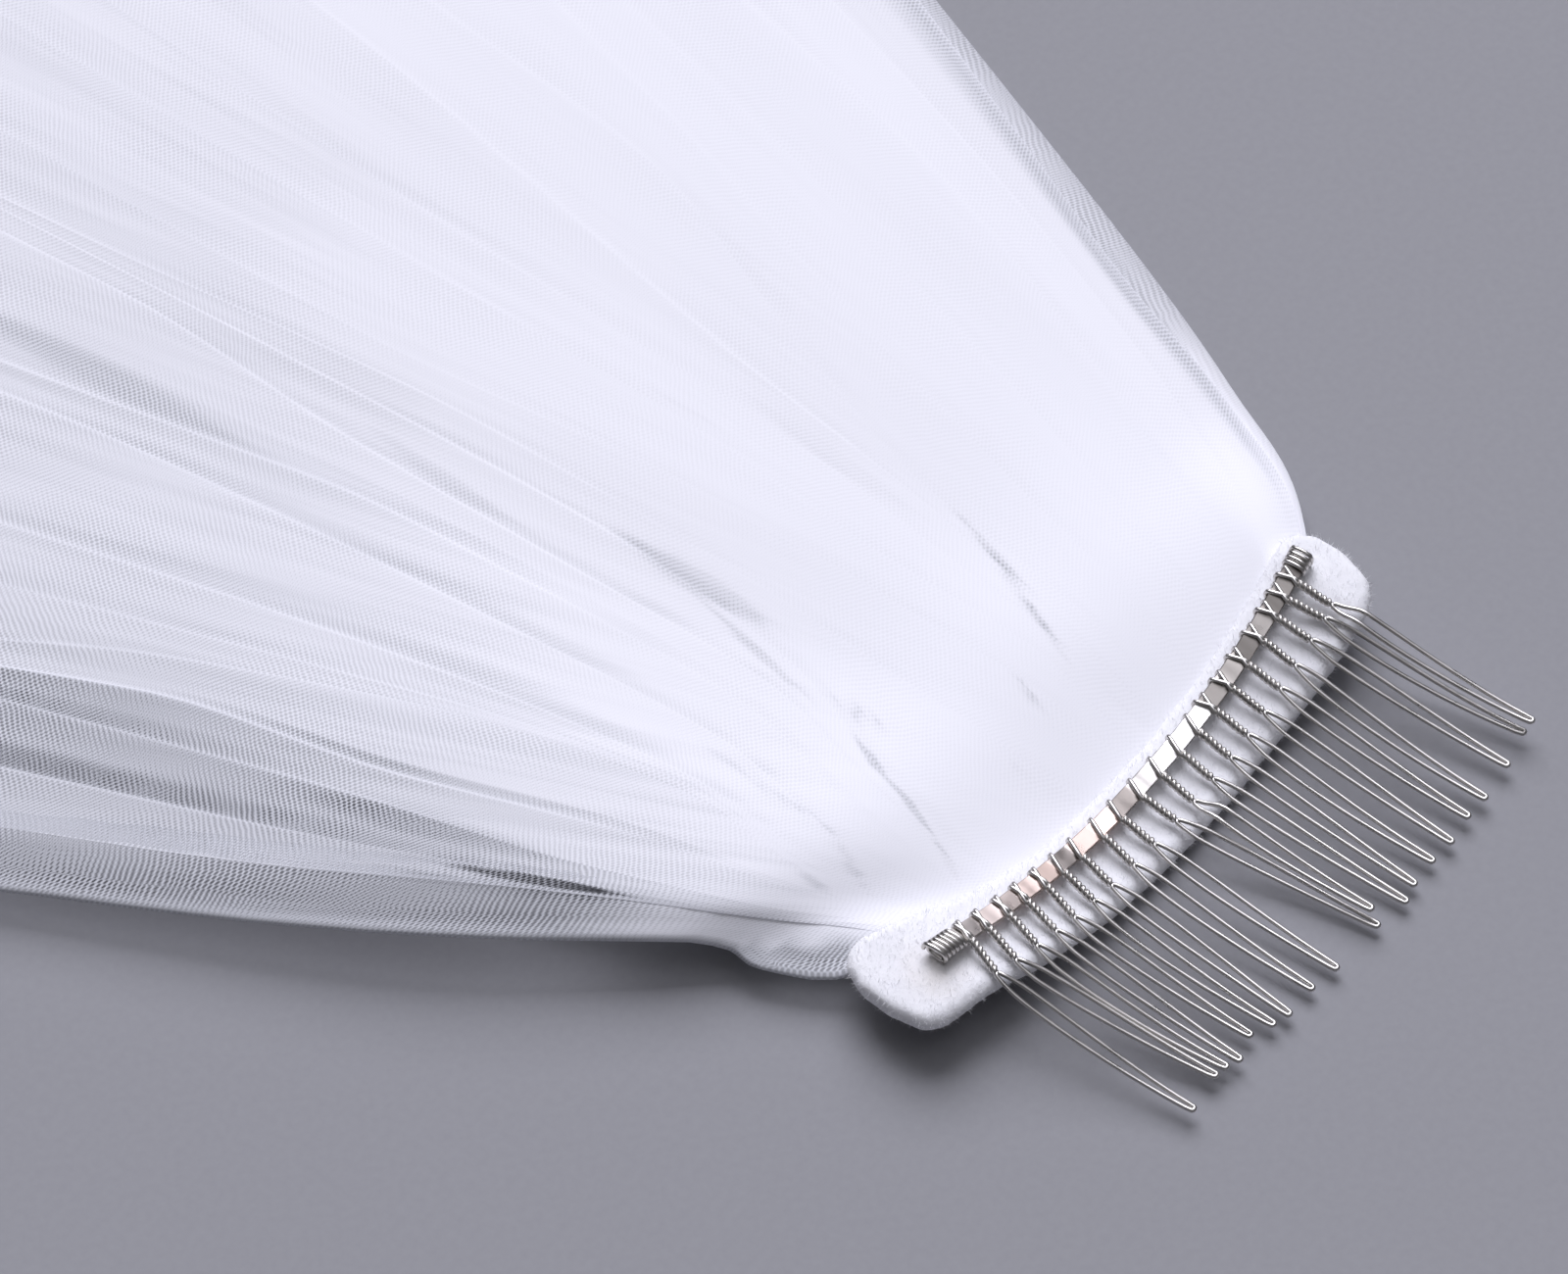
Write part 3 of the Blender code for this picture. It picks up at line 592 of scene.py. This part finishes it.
def make_plush_material():
    """Brushed polyester plush: short, dense, matt pile that scatters light, with a soft bloom at the rim."""
    material, tree, shader = new_material("brushed_polyester_plush")
    place = add_node(tree, "TexCoord").outputs["Object"]
    pile = add_node(tree, "TexNoise", [("Vector", place), ("Scale", 2200.0), ("Detail", 4.0), ("Roughness", 0.7)])
    tufts = add_node(tree, "TexNoise", [("Vector", place), ("Scale", 420.0), ("Detail", 3.0)])
    height = add_node(tree, "Math", [(0, pile), (1, 0.5), (2, tufts)], operation="MULTIPLY_ADD")
    bump = add_node(tree, "Bump", [("Height", height), ("Strength", 0.3), ("Distance", 0.0003)])
    # The pile is a shade darker where the tufts lie low: uneven tone, and painted shade in their hollows
    tone = add_node(tree, "Mix", [(0, tufts), (6, srgb("#f4f4f8")), (7, srgb("#fdfdff"))], data_type="RGBA")
    # A faint warm tint round the comb's near end
    away = add_node(tree, "VectorMath", [(0, place), (1, Vector(WARM_TINT_PLACE) * MM)], operation="DISTANCE")
    levels = [(0, away.outputs["Value"]), (1, 0.0), (2, WARM_TINT_RADIUS * MM), (3, WARM_TINT_STRENGTH), (4, 0.0)]
    mark = add_node(tree, "MapRange", levels, interpolation_type="SMOOTHSTEP")
    mark = add_node(tree, "Math", [(0, mark), (1, tufts)], operation="MULTIPLY")
    tone = add_node(tree, "Mix", [(0, mark), (6, tone.outputs[2]), (7, srgb("#e0cfb6"))], data_type="RGBA")
    set_sockets(tree, shader, [("Base Color", tone.outputs[2]), ("Normal", bump), ("Roughness", 0.95)])
    set_sockets(tree, shader, [("Specular IOR Level", 0.2), ("Sheen Weight", 0.4), ("Sheen Roughness", 0.5)])
    return material


# The CAD band's own form, evened out and softened
band_shape = bmesh.new()
band_shape.from_mesh(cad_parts["band"].data)
bmesh.ops.remove_doubles(band_shape, verts=band_shape.verts, dist=1e-6)
band = placed("plush_band", band_shape)
voxels = band.modifiers.new("even", "REMESH")
voxels.mode = "VOXEL"
voxels.voxel_size = PLUSH_VOXEL * MM
rounded = band.modifiers.new("soft", "SMOOTH")
rounded.factor = 0.5
rounded.iterations = 3
bpy.context.view_layer.update()
softened = bpy.data.meshes.new_from_object(band.evaluated_get(bpy.context.evaluated_depsgraph_get()))
band.modifiers.clear()
band.data = softened
band.data.calc_loop_triangles()
for vert in band.data.vertices:
    swell = noise.noise(vert.co / MM * 0.16) * PLUSH_UNEVEN
    tuft = noise.noise(vert.co / MM * 0.9) * PLUSH_LOFT
    x, y, _ = vert.co / MM
    corner = math.exp(-((x - CORNER[0]) ** 2 + (y - CORNER[1]) ** 2) / CORNER_RADIUS**2)
    vert.co += (vert.normal * (PLUSH_FULL + swell + tuft) + CORNER_PULL * corner) * MM
    vert.co.z = max(0.0, vert.co.z)  # it lies flat on the table
band.data.materials.clear()
band.data.materials.append(make_plush_material())
band.data.shade_smooth()
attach(band, "root")
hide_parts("band")

# The pile's longest fibres stand off the surface and blur its outline and the line where it meets the net
dice = random.Random(7)
faces = [face for face in band.data.polygons if face.normal.z > -0.5]
pile_shape = bmesh.new()
for _ in range(PILE_COUNT):
    face = dice.choice(faces)
    stray = Vector((dice.gauss(0, 1), dice.gauss(0, 1), dice.gauss(0, 0.6)))
    out = (face.normal + 0.7 * stray).normalized()
    if out.z < -0.3:
        out.z = abs(out.z)
    aside = out.cross(stray).normalized() * PILE_WIDTH / 2 * MM
    foot = face.center - face.normal * 0.1 * MM + stray.cross(face.normal) * 0.12 * MM
    tip = foot + out * PILE_LENGTH * dice.uniform(0.4, 1.5) * MM
    tip.z = max(0.0, tip.z)
    pile_shape.faces.new([pile_shape.verts.new(point) for point in (foot - aside, foot + aside, tip)])
pile = placed("plush_pile", pile_shape)
pile.data.materials.append(band.data.materials[0])
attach(pile, "root")

# --- Comb bar -----------------------------------------------------------------
# A narrow strip of plated steel, bent to the head. Each prong's wire is pinched over it, which leaves the
# strip between two prongs as a small bright plate, tilted a little from its neighbours.

BOW, BAR_SEAT = 2.7, 1.1  # how far the strip bows towards the tips in the middle, and where its ends lie
BAR_START, BAR_END = -37.0, 36.9
BAR_WIDTH, BAR_THICKNESS, BAR_HEIGHT = 2.5, 0.8, 4.3
BAR_CORNER = 0.12
PLATE_PARTS = (0.04, 0.12, 0.5, 0.88, 0.96)  # sections along each plate, the outer two pinched flat
PRONGS = (  # along the comb at the bar, at the fork and at the tip, reach from the bar, extra height at the tip
    (-33.8, -35.4, -33, 34.2, 0), (-30.8, -32, -27.5, 33.1, 0),
    (-27.3, -28.4, -25.7, 32.9, 0), (-24.1, -25, -23.8, 33.2, 0),
    (-20.6, -21.7, -20.2, 31.8, 0), (-17.4, -18.1, -17.2, 32.8, 0),
    (-14, -14.7, -14.8, 33.2, 0), (-9.8, -10.5, -10.1, 33, 0),
    (-6.2, -6.4, -5.9, 33.5, 0), (-2.1, -1.9, 2.2, 33.8, 0),
    (2, 1.7, 2.8, 32.3, 1.6), (6.1, 5.8, 7.2, 34.6, 0),
    (9.9, 9.7, 9.9, 34.1, 0), (13.6, 13.5, 14, 34.1, 0),
    (17.3, 17.3, 17.7, 34.6, 0), (21.1, 21.1, 22, 34.4, 0),
    (24.8, 24.7, 25.5, 34.9, 0), (28.3, 28.6, 31.2, 34.7, 0),
    (31, 32, 36.4, 33.9, 0), (33.5, 33.9, 37.4, 34.6, 1.6),
)  # fmt: skip
PLATES = (  # roll of each plate about the comb's length, its turn along it, in degrees, and its colour: the steel's tone with painted reflection, lighter or darker as the surroundings that the plate mirrors
    (10, 1, "#c4bfba"), (12, 2, "#c6beb9"), (9, -2, "#d0c3bc"), (11, 3, "#c6bab3"), (9, -1, "#cfbdb4"),
    (12, 1, "#c8b5ab"), (14, -2, "#a49c97"), (10, 2, "#d0bcb2"), (9, -1, "#d4c0b6"), (13, 3, "#aaa29c"),
    (11, 2, "#c9c5c1"), (10, -1, "#d0cecb"), (9, 1, "#d6d4d1"), (9, 0, "#d6d4d1"), (12, -3, "#9a9590"),
    (10, 3, "#a19c97"), (15, 4, "#8e8984"), (11, -3, "#a5a09b"), (14, 4, "#8c8782"), (10, 1, "#96918c"),
    (13, 1, "#7f7a76"),
)  # fmt: skip


def bar_y(x):
    """Place across the band of the strip's middle line."""
    return BAR_SEAT - BOW * (1.0 - (x / HALF_SPAN) ** 2)


def make_metal(name, colour, roughness, scratch):
    """Plated steel: bright, a little hazy, with the fine lengthwise marks of drawing and handling."""
    material, tree, shader = new_material(name)
    place = add_node(tree, "TexCoord").outputs["Object"]
    marks = add_node(tree, "TexNoise", [("Vector", place), ("Scale", 300.0), ("Detail", 2.0)])
    haze = add_node(tree, "MapRange", [(0, marks), (1, 0.3), (2, 0.7), (3, roughness * 0.7), (4, roughness * 1.4)])
    bump = add_node(tree, "Bump", [("Height", marks), ("Strength", scratch), ("Distance", 0.00003)])
    set_sockets(tree, shader, [("Base Color", srgb(colour)), ("Metallic", 1.0)])
    set_sockets(tree, shader, [("Roughness", haze), ("Normal", bump)])
    return material


def make_bar():
    bounds = [BAR_START] + [prong[0] for prong in PRONGS] + [BAR_END]
    shape = bmesh.new()
    tone_and_reflection = shape.verts.layers.float_color.new("tone_and_reflection")
    half, thick, cut = BAR_WIDTH / 2, BAR_THICKNESS / 2, BAR_CORNER
    profile = [(-half, -thick + cut), (-half, thick - cut), (-half + cut, thick), (half - cut, thick)]
    profile += [(-y, -z) for y, z in profile]
    previous = None
    for plate, (start, end) in enumerate(zip(bounds, bounds[1:])):
        roll, turn = (math.radians(a) for a in PLATES[plate][:2])
        for part in PLATE_PARTS:
            x = start + (end - start) * part
            ease = smooth(min(part, 1 - part) / PLATE_PARTS[1])
            tilt = roll * ease
            step = math.tan(turn) * (x - (start + end) / 2) * ease
            centre = Vector((x, bar_y(x), BAR_HEIGHT + rise(x) + step))
            verts = []
            for y, z in profile:
                across = y * math.cos(tilt) - z * math.sin(tilt)
                up = y * math.sin(tilt) + z * math.cos(tilt)
                verts.append(shape.verts.new((centre + Vector((0, across, up))) * MM))
                # Each plate's colour is the steel's tone with painted reflection
                verts[-1][tone_and_reflection] = srgb(PLATES[plate][2])
            edges = [shape.edges.new((a, b)) for a, b in zip(verts, verts[1:] + verts[:1])]
            if previous:
                bmesh.ops.bridge_loops(shape, edges=previous + edges)
            else:
                shape.faces.new(verts)
            previous = edges
    shape.faces.new(verts)
    bmesh.ops.recalc_face_normals(shape, faces=shape.faces)
    return placed("comb_strip", shape)


bar = make_bar()
bar.data.shade_smooth()
bar.data.set_sharp_from_angle(angle=math.radians(30))
strip_metal = make_metal("bright_plated_strip", "#c9c5c1", 0.34, 0.1)
tree = strip_metal.node_tree
# The plates' colours, partly painted reflection, stand in for the strip's base colour
tone_and_reflection = add_node(tree, "Attribute", attribute_name="tone_and_reflection").outputs["Color"]
set_sockets(tree, tree.nodes["Principled BSDF"], [("Base Color", tone_and_reflection)])
bar.data.materials.append(strip_metal)
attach(bar, "root")
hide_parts("comb_bar")

# --- Prongs -------------------------------------------------------------------
# Each prong is one length of round plated wire, bent back on itself: its two ends are pinched over the strip,
# twisted together for the stem, and part into a long narrow loop that closes at the tip.

WIRE = 0.5  # width that a strand takes up where it is pinched over the strip
WIRE_RADIUS = 0.30  # and where it isn't
STEM_END = 6.8  # distance from the bar's centre line to where the two strands part
STEM_SAG = 0.35
STEM_TURNS, TURN_STEPS = 3.75, 12
LOOP_STEPS = 27
TIP_HEIGHT, END_TIP_RISE = 1.2, 0.7  # over the table in the middle, and how much more at the ends
TIP_HALF_WIDTH = 0.33
PRONG_DROP_POWER = 1.6  # how soon a prong comes down to the height of its tip
STRAND_OFFSET = 0.31  # of each strand from the stem's middle
HOOK_SLANT = 1.0  # the pinched wire crosses the strip at a slant, from this far along it
SECOND_OVER = (5, 12)  # between these prongs only one strand passes over the strip, and the other below it
LOOP_STATIONS = (0.0, 0.06, 0.13, 0.27, 0.55, 0.82, 1.0)  # from the fork to the tip
LOOP_HALF_WIDTHS = (0.31, 0.66, 0.88, 0.93, 0.76, 0.50, 0.33)
LIFT_SHARE = 0.15  # how far past the fork a prong that crosses its neighbour has risen over it


def wire(name, points, material):
    """A round wire on a smooth path through points."""
    curve = bpy.data.curves.new(name, "CURVE")
    curve.dimensions = "3D"
    curve.bevel_depth = WIRE_RADIUS * MM
    curve.bevel_resolution = 2
    curve.use_fill_caps = True
    path = curve.splines.new("POLY")
    path.points.add(len(points) - 1)
    for target, point in zip(path.points, points):
        target.co = (*(Vector(point) * MM), 1.0)
    path.use_smooth = True
    curve.materials.append(material)
    drawn = placed(name, curve)
    mesh = bpy.data.meshes.new_from_object(drawn)
    bpy.data.objects.remove(drawn)
    return placed(name, mesh)


def prong_points(number):
    root_x, fork_x, tip_x, reach, extra = PRONGS[number]
    root_y = bar_y(root_x)
    bar_z = BAR_HEIGHT + rise(root_x)
    fork_z = bar_z - STEM_SAG
    tip_z = TIP_HEIGHT + END_TIP_RISE * (root_x / HALF_SPAN) ** 2
    over = bar_z + BAR_THICKNESS / 2 + WIRE / 2
    below = bar_z - BAR_THICKNESS / 2 - WIRE / 2
    beside = BAR_WIDTH / 2 + WIRE / 2
    stem_start = root_y - beside - 0.1
    sway = 0.25 * math.sin(number * 2.3)

    def hook(side):
        """One strand's way over or under the strip to the head of the stem."""
        x, offset = root_x, side * WIRE / 2
        if side > 0 and SECOND_OVER[0] <= number <= SECOND_OVER[1]:
            return [
                (x, root_y + 0.5, below),
                (x + offset, root_y - beside * 0.8, below),
                (x + offset, stem_start + 0.1, bar_z - 0.3),
            ]
        slant = HOOK_SLANT if side < 0 else 0.4 if number < SECOND_OVER[0] else -0.6
        return [
            (x + slant - 0.2, root_y + beside * 0.4, below),
            (x + slant - 0.1, root_y + beside * 0.85, below + 0.15),
            (x + slant, root_y + beside * 0.97, bar_z),
            (x + slant * 0.95, root_y + beside * 0.85, over - 0.12),
            (x + slant * 0.8, root_y + beside * 0.6, over),
            (x + slant * 0.2 + offset, root_y - beside * 0.6, over),
            (x + slant * 0.05 + offset, root_y - beside * 0.9, over - 0.1),
        ]

    def strand(side):
        points = hook(side)
        end_y = root_y - STEM_END
        steps = round(STEM_TURNS * TURN_STEPS)
        for step in range(steps + 1):
            part = step / steps
            angle = math.pi * (2 * STEM_TURNS * part)
            ease = min(1.0, (1 - part) * 9)
            across = side * STRAND_OFFSET * (math.cos(angle) * ease + (1 - ease))
            up = side * STRAND_OFFSET * math.sin(angle) * ease
            x = root_x + (fork_x - root_x) * part + across
            y = stem_start + (end_y - stem_start) * part
            points.append((x, y, over - 0.25 + (fork_z - over + 0.25) * smooth(part * 1.2) + up))
        for step in range(1, LOOP_STEPS):
            part = step / LOOP_STEPS
            half = spline(LOOP_STATIONS, LOOP_HALF_WIDTHS, part)
            x = fork_x + (tip_x - fork_x) * part + side * half + sway * math.sin(math.pi * part)
            y = root_y - STEM_END - (reach - STEM_END) * part
            level = tip_z + (fork_z - tip_z) * (1.0 - part) ** PRONG_DROP_POWER
            points.append((x, y, level + extra * smooth(part / LIFT_SHARE)))
        for turn in (75, 40):
            angle = math.radians(turn)
            x = tip_x + side * TIP_HALF_WIDTH * math.sin(angle)
            points.append((x, root_y - reach + TIP_HALF_WIDTH * (1 - math.cos(angle)), tip_z + extra))
        return points

    return strand(-1) + [(tip_x, root_y - reach, tip_z + extra)] + strand(1)[::-1]


wire_metal = make_metal("drawn_plated_wire", "#cfccc8", 0.33, 0.03)
for number in range(len(PRONGS)):
    prong = wire(f"comb_wire_{number + 1:02d}", prong_points(number), wire_metal)
    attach(prong, "root")
    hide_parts(f"comb_prong_{number + 1:02d}")

# --- Windings -----------------------------------------------------------------
# At each end of the strip the wire ends in tight turns round it, which keep the prongs from sliding off. The
# last turn at each end is a little wider and stands off the strip.

TURN_PITCH, WINDING_STEPS = 0.66, 16
END_LOOP, END_LOOP_TURNS = 0.45, 1.6  # how much wider the last turn is, and over how many turns that fades


def winding_points(start, turns, loop_at_start):
    points = []
    steps = turns * WINDING_STEPS
    for step in range(steps + 1):
        angle = math.pi * 2 * step / WINDING_STEPS
        from_end = step / WINDING_STEPS if loop_at_start else (steps - step) / WINDING_STEPS
        loose = END_LOOP * (1.0 - smooth(from_end / END_LOOP_TURNS))
        x = start + TURN_PITCH * step / WINDING_STEPS
        wide = BAR_WIDTH / 2 + WIRE * 0.55 + 0.3 * loose
        high = BAR_THICKNESS / 2 + WIRE * 0.75 + loose
        # The turns are squarer than an ellipse, because they follow the strip's flat section
        square = 1.0 / max(abs(math.cos(angle)), abs(math.sin(angle))) ** 0.5
        y = bar_y(x) + wide * math.cos(angle) * square * 0.93
        points.append((x, y, BAR_HEIGHT + rise(x) + high * math.sin(angle) * square - 0.5 * loose))
    return points


for name, node, start, turns, loop_at_start in (
    ("comb_turns_near", "comb_winding_near", -38.3, 6, True),
    ("comb_turns_far", "comb_winding_far", 34.9, 4, False),
):
    winding = wire(name, winding_points(start, turns, loop_at_start), wire_metal)
    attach(winding, "root")
    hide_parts(node)

# --- Table, lights and camera -------------------------------------------------
# A matt grey card under the veil, a large soft box high behind its far side, a weak one overhead that lights
# the wires, and a dome of soft light that is darker towards the horizon.

FLOOR_SIDE, FLOOR_LEVEL = 30.0, -0.0002  # metres, from here on
SOFTBOXES = (  # name, direction towards it, distance, size, power
    ("key_softbox", (0.46, 0.47, 0.75), 5.0, (3.96, 3.96), 303.0),
    ("top_softbox", (0.1, -0.05, 1.0), 1.6, (1.4, 0.9), 3.0),
)
SOFTBOX_AIM, SOFTBOX_COLOUR = Vector((0.0, 0.03, 0.0)), "#f4f4ff"
SKY = ((0.0, "#4c4a4c"), (0.6, "#9c9ca4"), (0.95, "#fbfbff"))  # from the horizon up
SKY_STRENGTH = 0.24
CAMERA_PLACE = (-0.3844, -0.2462, 0.6586)
CAMERA_TURN = (36.0, 0.0, -52.0)
CAMERA_LENS = 149.44

card = bmesh.new()
bmesh.ops.create_grid(card, x_segments=1, y_segments=1, size=FLOOR_SIDE / 2)
floor = placed("card", card)
floor.location.z = FLOOR_LEVEL
floor_material, tree, shader = new_material("matt_grey_card")
place = add_node(tree, "TexCoord").outputs["Object"]
grain = add_node(tree, "TexNoise", [("Vector", place), ("Scale", 900.0), ("Detail", 3.0)])
tone = add_node(tree, "Mix", [(0, grain), (6, srgb("#96969a")), (7, srgb("#9e9ea2"))], data_type="RGBA")
set_sockets(tree, shader, [("Base Color", tone.outputs[2]), ("Roughness", 0.9), ("Specular IOR Level", 0.2)])
floor.data.materials.append(floor_material)

for name, towards, distance, size, power in SOFTBOXES:
    lamp = bpy.data.lights.new(name, "AREA")
    lamp.shape = "RECTANGLE"
    lamp.size, lamp.size_y = size
    lamp.energy = power
    lamp.color = srgb(SOFTBOX_COLOUR)[:3]
    light = placed(name, lamp)
    light.location = SOFTBOX_AIM + Vector(towards).normalized() * distance
    light.rotation_euler = Vector(towards).to_track_quat("Z", "Y").to_euler()
    light.visible_camera = False

world = bpy.data.worlds.new("studio")
bpy.context.scene.world = world
world.use_nodes = True
tree = world.node_tree
direction = add_node(tree, "TexCoord").outputs["Generated"]
height = add_node(tree, "SeparateXYZ", [(0, direction)]).outputs["Z"]
ramp = add_node(tree, "ValToRGB", [(0, height)])
stops = ramp.color_ramp.elements
stops.new(SKY[1][0])
for stop, (level, colour) in zip(stops, SKY):
    stop.position, stop.color = level, srgb(colour)
set_sockets(tree, tree.nodes["Background"], [("Color", ramp), ("Strength", SKY_STRENGTH)])

lens = bpy.data.cameras.new("camera")
lens.lens = CAMERA_LENS
lens.sensor_width = 36.0
lens.clip_start, lens.clip_end = 0.01, 100.0
camera = placed("camera", lens)
camera.location = CAMERA_PLACE
camera.rotation_euler = [math.radians(a) for a in CAMERA_TURN]
bpy.context.scene.camera = camera
bpy.context.scene.view_settings.view_transform = "Standard"
